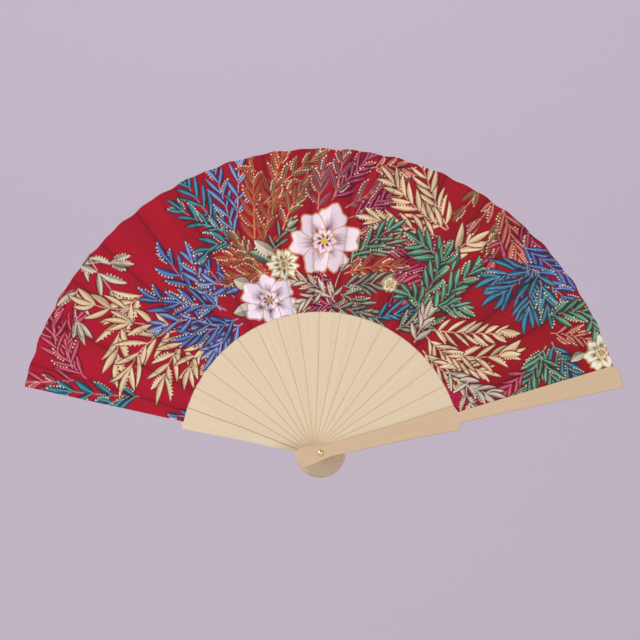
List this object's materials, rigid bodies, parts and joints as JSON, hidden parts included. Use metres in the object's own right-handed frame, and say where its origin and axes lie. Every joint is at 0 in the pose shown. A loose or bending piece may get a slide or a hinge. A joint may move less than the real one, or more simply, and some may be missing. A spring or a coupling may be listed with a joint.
{
  "type": "folding hand fan",
  "caption": "Open wooden folding hand fan with thick outer guards, thin ribs turning on a brass rivet, and a pleated crimson cloth leaf printed with leaves and flowers.",
  "frame": {"origin": "centre of the rivet, half way through the stack of sticks", "axes": "+Z towards the middle of the open leaf, -Y out of the front face, +X to the front guard's side"},
  "size_m": [0.4126, 0.0226, 0.2271],
  "materials": {
    "guard_wood": "satin",
    "rib_wood": "satin",
    "leaf_cloth": "matte",
    "brass": "polished"
  },
  "bodies": {
    "rear_guard": {"rear_guard": "guard_wood", "leaf_panel_00": "leaf_cloth", "rivet_pin": "brass", "front_washer": "brass", "rear_washer": "brass"},
    "rib_01": {"rib_01": "rib_wood", "leaf_panel_01": "leaf_cloth"},
    "rib_02": {"rib_02": "rib_wood", "leaf_panel_02": "leaf_cloth"},
    "rib_03": {"rib_03": "rib_wood", "leaf_panel_03": "leaf_cloth"},
    "rib_04": {"rib_04": "rib_wood", "leaf_panel_04": "leaf_cloth"},
    "rib_05": {"rib_05": "rib_wood", "leaf_panel_05": "leaf_cloth"},
    "rib_06": {"rib_06": "rib_wood", "leaf_panel_06": "leaf_cloth"},
    "rib_07": {"rib_07": "rib_wood", "leaf_panel_07": "leaf_cloth"},
    "rib_08": {"rib_08": "rib_wood", "leaf_panel_08": "leaf_cloth"},
    "rib_09": {"rib_09": "rib_wood", "leaf_panel_09": "leaf_cloth"},
    "rib_10": {"rib_10": "rib_wood", "leaf_panel_10": "leaf_cloth"},
    "rib_11": {"rib_11": "rib_wood", "leaf_panel_11": "leaf_cloth"},
    "rib_12": {"rib_12": "rib_wood", "leaf_panel_12": "leaf_cloth"},
    "rib_13": {"rib_13": "rib_wood", "leaf_panel_13": "leaf_cloth"},
    "rib_14": {"rib_14": "rib_wood", "leaf_panel_14": "leaf_cloth"},
    "rib_15": {"rib_15": "rib_wood", "leaf_panel_15": "leaf_cloth"},
    "rib_16": {"rib_16": "rib_wood", "leaf_panel_16": "leaf_cloth"},
    "front_guard": {"front_guard": "guard_wood", "leaf_panel_17": "leaf_cloth"},
    "leaf_fold_00": {"leaf_fold_00": "leaf_cloth"},
    "leaf_fold_01": {"leaf_fold_01": "leaf_cloth"},
    "leaf_fold_02": {"leaf_fold_02": "leaf_cloth"},
    "leaf_fold_03": {"leaf_fold_03": "leaf_cloth"},
    "leaf_fold_04": {"leaf_fold_04": "leaf_cloth"},
    "leaf_fold_05": {"leaf_fold_05": "leaf_cloth"},
    "leaf_fold_06": {"leaf_fold_06": "leaf_cloth"},
    "leaf_fold_07": {"leaf_fold_07": "leaf_cloth"},
    "leaf_fold_08": {"leaf_fold_08": "leaf_cloth"},
    "leaf_fold_09": {"leaf_fold_09": "leaf_cloth"},
    "leaf_fold_10": {"leaf_fold_10": "leaf_cloth"},
    "leaf_fold_11": {"leaf_fold_11": "leaf_cloth"},
    "leaf_fold_12": {"leaf_fold_12": "leaf_cloth"},
    "leaf_fold_13": {"leaf_fold_13": "leaf_cloth"},
    "leaf_fold_14": {"leaf_fold_14": "leaf_cloth"},
    "leaf_fold_15": {"leaf_fold_15": "leaf_cloth"},
    "leaf_fold_16": {"leaf_fold_16": "leaf_cloth"}
  },
  "joints": [
    {"name": "fan_opening", "type": "hinge", "parent": "rear_guard", "child": "front_guard", "pos_m": [0, 0, 0], "axis": [0, -1, 0], "range_deg": [0, 150.9], "deforming": ["leaf_panel_17", "leaf_panel_00"]},
    {"name": "rib_01_turn", "type": "hinge", "parent": "rear_guard", "child": "rib_01", "pos_m": [0, 0, 0], "axis": [0, -1, 0], "range_deg": [0, 8.88], "deforming": ["leaf_panel_01"]},
    {"name": "rib_02_turn", "type": "hinge", "parent": "rear_guard", "child": "rib_02", "pos_m": [0, 0, 0], "axis": [0, -1, 0], "range_deg": [0, 17.75], "deforming": ["leaf_panel_02"]},
    {"name": "rib_03_turn", "type": "hinge", "parent": "rear_guard", "child": "rib_03", "pos_m": [0, 0, 0], "axis": [0, -1, 0], "range_deg": [0, 26.63], "deforming": ["leaf_panel_03"]},
    {"name": "rib_04_turn", "type": "hinge", "parent": "rear_guard", "child": "rib_04", "pos_m": [0, 0, 0], "axis": [0, -1, 0], "range_deg": [0, 35.51], "deforming": ["leaf_panel_04"]},
    {"name": "rib_05_turn", "type": "hinge", "parent": "rear_guard", "child": "rib_05", "pos_m": [0, 0, 0], "axis": [0, -1, 0], "range_deg": [0, 44.38], "deforming": ["leaf_panel_05"]},
    {"name": "rib_06_turn", "type": "hinge", "parent": "rear_guard", "child": "rib_06", "pos_m": [0, 0, 0], "axis": [0, -1, 0], "range_deg": [0, 53.26], "deforming": ["leaf_panel_06"]},
    {"name": "rib_07_turn", "type": "hinge", "parent": "rear_guard", "child": "rib_07", "pos_m": [0, 0, 0], "axis": [0, -1, 0], "range_deg": [0, 62.14], "deforming": ["leaf_panel_07"]},
    {"name": "rib_08_turn", "type": "hinge", "parent": "rear_guard", "child": "rib_08", "pos_m": [0, 0, 0], "axis": [0, -1, 0], "range_deg": [0, 71.01], "deforming": ["leaf_panel_08"]},
    {"name": "rib_09_turn", "type": "hinge", "parent": "rear_guard", "child": "rib_09", "pos_m": [0, 0, 0], "axis": [0, -1, 0], "range_deg": [0, 79.89], "deforming": ["leaf_panel_09"]},
    {"name": "rib_10_turn", "type": "hinge", "parent": "rear_guard", "child": "rib_10", "pos_m": [0, 0, 0], "axis": [0, -1, 0], "range_deg": [0, 88.77], "deforming": ["leaf_panel_10"]},
    {"name": "rib_11_turn", "type": "hinge", "parent": "rear_guard", "child": "rib_11", "pos_m": [0, 0, 0], "axis": [0, -1, 0], "range_deg": [0, 97.64], "deforming": ["leaf_panel_11"]},
    {"name": "rib_12_turn", "type": "hinge", "parent": "rear_guard", "child": "rib_12", "pos_m": [0, 0, 0], "axis": [0, -1, 0], "range_deg": [0, 106.52], "deforming": ["leaf_panel_12"]},
    {"name": "rib_13_turn", "type": "hinge", "parent": "rear_guard", "child": "rib_13", "pos_m": [0, 0, 0], "axis": [0, -1, 0], "range_deg": [0, 115.4], "deforming": ["leaf_panel_13"]},
    {"name": "rib_14_turn", "type": "hinge", "parent": "rear_guard", "child": "rib_14", "pos_m": [0, 0, 0], "axis": [0, -1, 0], "range_deg": [0, 124.27], "deforming": ["leaf_panel_14"]},
    {"name": "rib_15_turn", "type": "hinge", "parent": "rear_guard", "child": "rib_15", "pos_m": [0, 0, 0], "axis": [0, -1, 0], "range_deg": [0, 133.15], "deforming": ["leaf_panel_15"]},
    {"name": "rib_16_turn", "type": "hinge", "parent": "rear_guard", "child": "rib_16", "pos_m": [0, 0, 0], "axis": [0, -1, 0], "range_deg": [0, 142.02], "deforming": ["leaf_panel_16"]},
    {"name": "leaf_fold_00_hinge", "type": "hinge", "parent": "rear_guard", "child": "leaf_fold_00", "pos_m": [0, 0.00842, 0], "axis": [0.9567, 0, -0.291], "range_deg": [0, 165.68], "deforming": ["leaf_fold_00"]},
    {"name": "leaf_fold_01_hinge", "type": "hinge", "parent": "rib_01", "child": "leaf_fold_01", "pos_m": [0, 0.00709, 0], "axis": [0.9003, -0.0045, -0.4352], "range_deg": [0, 158.73], "deforming": ["leaf_fold_01"]},
    {"name": "leaf_fold_02_hinge", "type": "hinge", "parent": "rib_02", "child": "leaf_fold_02", "pos_m": [0, 0.00609, 0], "axis": [0.8224, -0.0045, -0.5689], "range_deg": [0, 158.73], "deforming": ["leaf_fold_02"]},
    {"name": "leaf_fold_03_hinge", "type": "hinge", "parent": "rib_03", "child": "leaf_fold_03", "pos_m": [0, 0.00509, 0], "axis": [0.7248, -0.0045, -0.689], "range_deg": [0, 158.73], "deforming": ["leaf_fold_03"]},
    {"name": "leaf_fold_04_hinge", "type": "hinge", "parent": "rib_04", "child": "leaf_fold_04", "pos_m": [0, 0.00409, 0], "axis": [0.6098, -0.0045, -0.7925], "range_deg": [0, 158.73], "deforming": ["leaf_fold_04"]},
    {"name": "leaf_fold_05_hinge", "type": "hinge", "parent": "rib_05", "child": "leaf_fold_05", "pos_m": [0, 0.00309, 0], "axis": [0.4802, -0.0045, -0.8771], "range_deg": [0, 158.73], "deforming": ["leaf_fold_05"]},
    {"name": "leaf_fold_06_hinge", "type": "hinge", "parent": "rib_06", "child": "leaf_fold_06", "pos_m": [0, 0.00209, 0], "axis": [0.3391, -0.0045, -0.9407], "range_deg": [0, 158.73], "deforming": ["leaf_fold_06"]},
    {"name": "leaf_fold_07_hinge", "type": "hinge", "parent": "rib_07", "child": "leaf_fold_07", "pos_m": [0, 0.00109, 0], "axis": [0.1899, -0.0045, -0.9818], "range_deg": [0, 158.73], "deforming": ["leaf_fold_07"]},
    {"name": "leaf_fold_08_hinge", "type": "hinge", "parent": "rib_08", "child": "leaf_fold_08", "pos_m": [0, 0.00009, 0], "axis": [0.0361, -0.0045, -0.9993], "range_deg": [0, 158.73], "deforming": ["leaf_fold_08"]},
    {"name": "leaf_fold_09_hinge", "type": "hinge", "parent": "rib_09", "child": "leaf_fold_09", "pos_m": [0, -0.00091, 0], "axis": [-0.1185, -0.0045, -0.9929], "range_deg": [0, 158.73], "deforming": ["leaf_fold_09"]},
    {"name": "leaf_fold_10_hinge", "type": "hinge", "parent": "rib_10", "child": "leaf_fold_10", "pos_m": [0, -0.00191, 0], "axis": [-0.2703, -0.0045, -0.9628], "range_deg": [0, 158.73], "deforming": ["leaf_fold_10"]},
    {"name": "leaf_fold_11_hinge", "type": "hinge", "parent": "rib_11", "child": "leaf_fold_11", "pos_m": [0, -0.00291, 0], "axis": [-0.4156, -0.0045, -0.9095], "range_deg": [0, 158.73], "deforming": ["leaf_fold_11"]},
    {"name": "leaf_fold_12_hinge", "type": "hinge", "parent": "rib_12", "child": "leaf_fold_12", "pos_m": [0, -0.00391, 0], "axis": [-0.551, -0.0045, -0.8345], "range_deg": [0, 158.73], "deforming": ["leaf_fold_12"]},
    {"name": "leaf_fold_13_hinge", "type": "hinge", "parent": "rib_13", "child": "leaf_fold_13", "pos_m": [0, -0.00491, 0], "axis": [-0.6732, -0.0045, -0.7395], "range_deg": [0, 158.73], "deforming": ["leaf_fold_13"]},
    {"name": "leaf_fold_14_hinge", "type": "hinge", "parent": "rib_14", "child": "leaf_fold_14", "pos_m": [0, -0.00591, 0], "axis": [-0.7792, -0.0045, -0.6267], "range_deg": [0, 158.73], "deforming": ["leaf_fold_14"]},
    {"name": "leaf_fold_15_hinge", "type": "hinge", "parent": "rib_15", "child": "leaf_fold_15", "pos_m": [0, -0.00691, 0], "axis": [-0.8666, -0.0045, -0.499], "range_deg": [0, 162.87], "deforming": ["leaf_fold_15"]},
    {"name": "leaf_fold_16_hinge", "type": "hinge", "parent": "rib_16", "child": "leaf_fold_16", "pos_m": [0, -0.00791, 0], "axis": [-0.9332, -0.0014, -0.3593], "range_deg": [0, 171.91], "deforming": ["leaf_fold_16"]}
  ],
  "couplings": [
    {"joint": "rib_01_turn", "follows": "fan_opening", "ratio": 0.058824},
    {"joint": "rib_02_turn", "follows": "fan_opening", "ratio": 0.11765},
    {"joint": "rib_03_turn", "follows": "fan_opening", "ratio": 0.17647},
    {"joint": "rib_04_turn", "follows": "fan_opening", "ratio": 0.23529},
    {"joint": "rib_05_turn", "follows": "fan_opening", "ratio": 0.29412},
    {"joint": "rib_06_turn", "follows": "fan_opening", "ratio": 0.35294},
    {"joint": "rib_07_turn", "follows": "fan_opening", "ratio": 0.41176},
    {"joint": "rib_08_turn", "follows": "fan_opening", "ratio": 0.47059},
    {"joint": "rib_09_turn", "follows": "fan_opening", "ratio": 0.52941},
    {"joint": "rib_10_turn", "follows": "fan_opening", "ratio": 0.58824},
    {"joint": "rib_11_turn", "follows": "fan_opening", "ratio": 0.64706},
    {"joint": "rib_12_turn", "follows": "fan_opening", "ratio": 0.70588},
    {"joint": "rib_13_turn", "follows": "fan_opening", "ratio": 0.76471},
    {"joint": "rib_14_turn", "follows": "fan_opening", "ratio": 0.82353},
    {"joint": "rib_15_turn", "follows": "fan_opening", "ratio": 0.88235},
    {"joint": "rib_16_turn", "follows": "fan_opening", "ratio": 0.94118},
    {"joint": "leaf_fold_00_hinge", "follows": "fan_opening", "ratio": 1.0979},
    {"joint": "leaf_fold_01_hinge", "follows": "fan_opening", "ratio": 1.0518},
    {"joint": "leaf_fold_02_hinge", "follows": "fan_opening", "ratio": 1.0518},
    {"joint": "leaf_fold_03_hinge", "follows": "fan_opening", "ratio": 1.0518},
    {"joint": "leaf_fold_04_hinge", "follows": "fan_opening", "ratio": 1.0518},
    {"joint": "leaf_fold_05_hinge", "follows": "fan_opening", "ratio": 1.0518},
    {"joint": "leaf_fold_06_hinge", "follows": "fan_opening", "ratio": 1.0518},
    {"joint": "leaf_fold_07_hinge", "follows": "fan_opening", "ratio": 1.0518},
    {"joint": "leaf_fold_08_hinge", "follows": "fan_opening", "ratio": 1.0518},
    {"joint": "leaf_fold_09_hinge", "follows": "fan_opening", "ratio": 1.0518},
    {"joint": "leaf_fold_10_hinge", "follows": "fan_opening", "ratio": 1.0518},
    {"joint": "leaf_fold_11_hinge", "follows": "fan_opening", "ratio": 1.0518},
    {"joint": "leaf_fold_12_hinge", "follows": "fan_opening", "ratio": 1.0518},
    {"joint": "leaf_fold_13_hinge", "follows": "fan_opening", "ratio": 1.0518},
    {"joint": "leaf_fold_14_hinge", "follows": "fan_opening", "ratio": 1.0518},
    {"joint": "leaf_fold_15_hinge", "follows": "fan_opening", "ratio": 1.0793},
    {"joint": "leaf_fold_16_hinge", "follows": "fan_opening", "ratio": 1.1392}
  ]
}
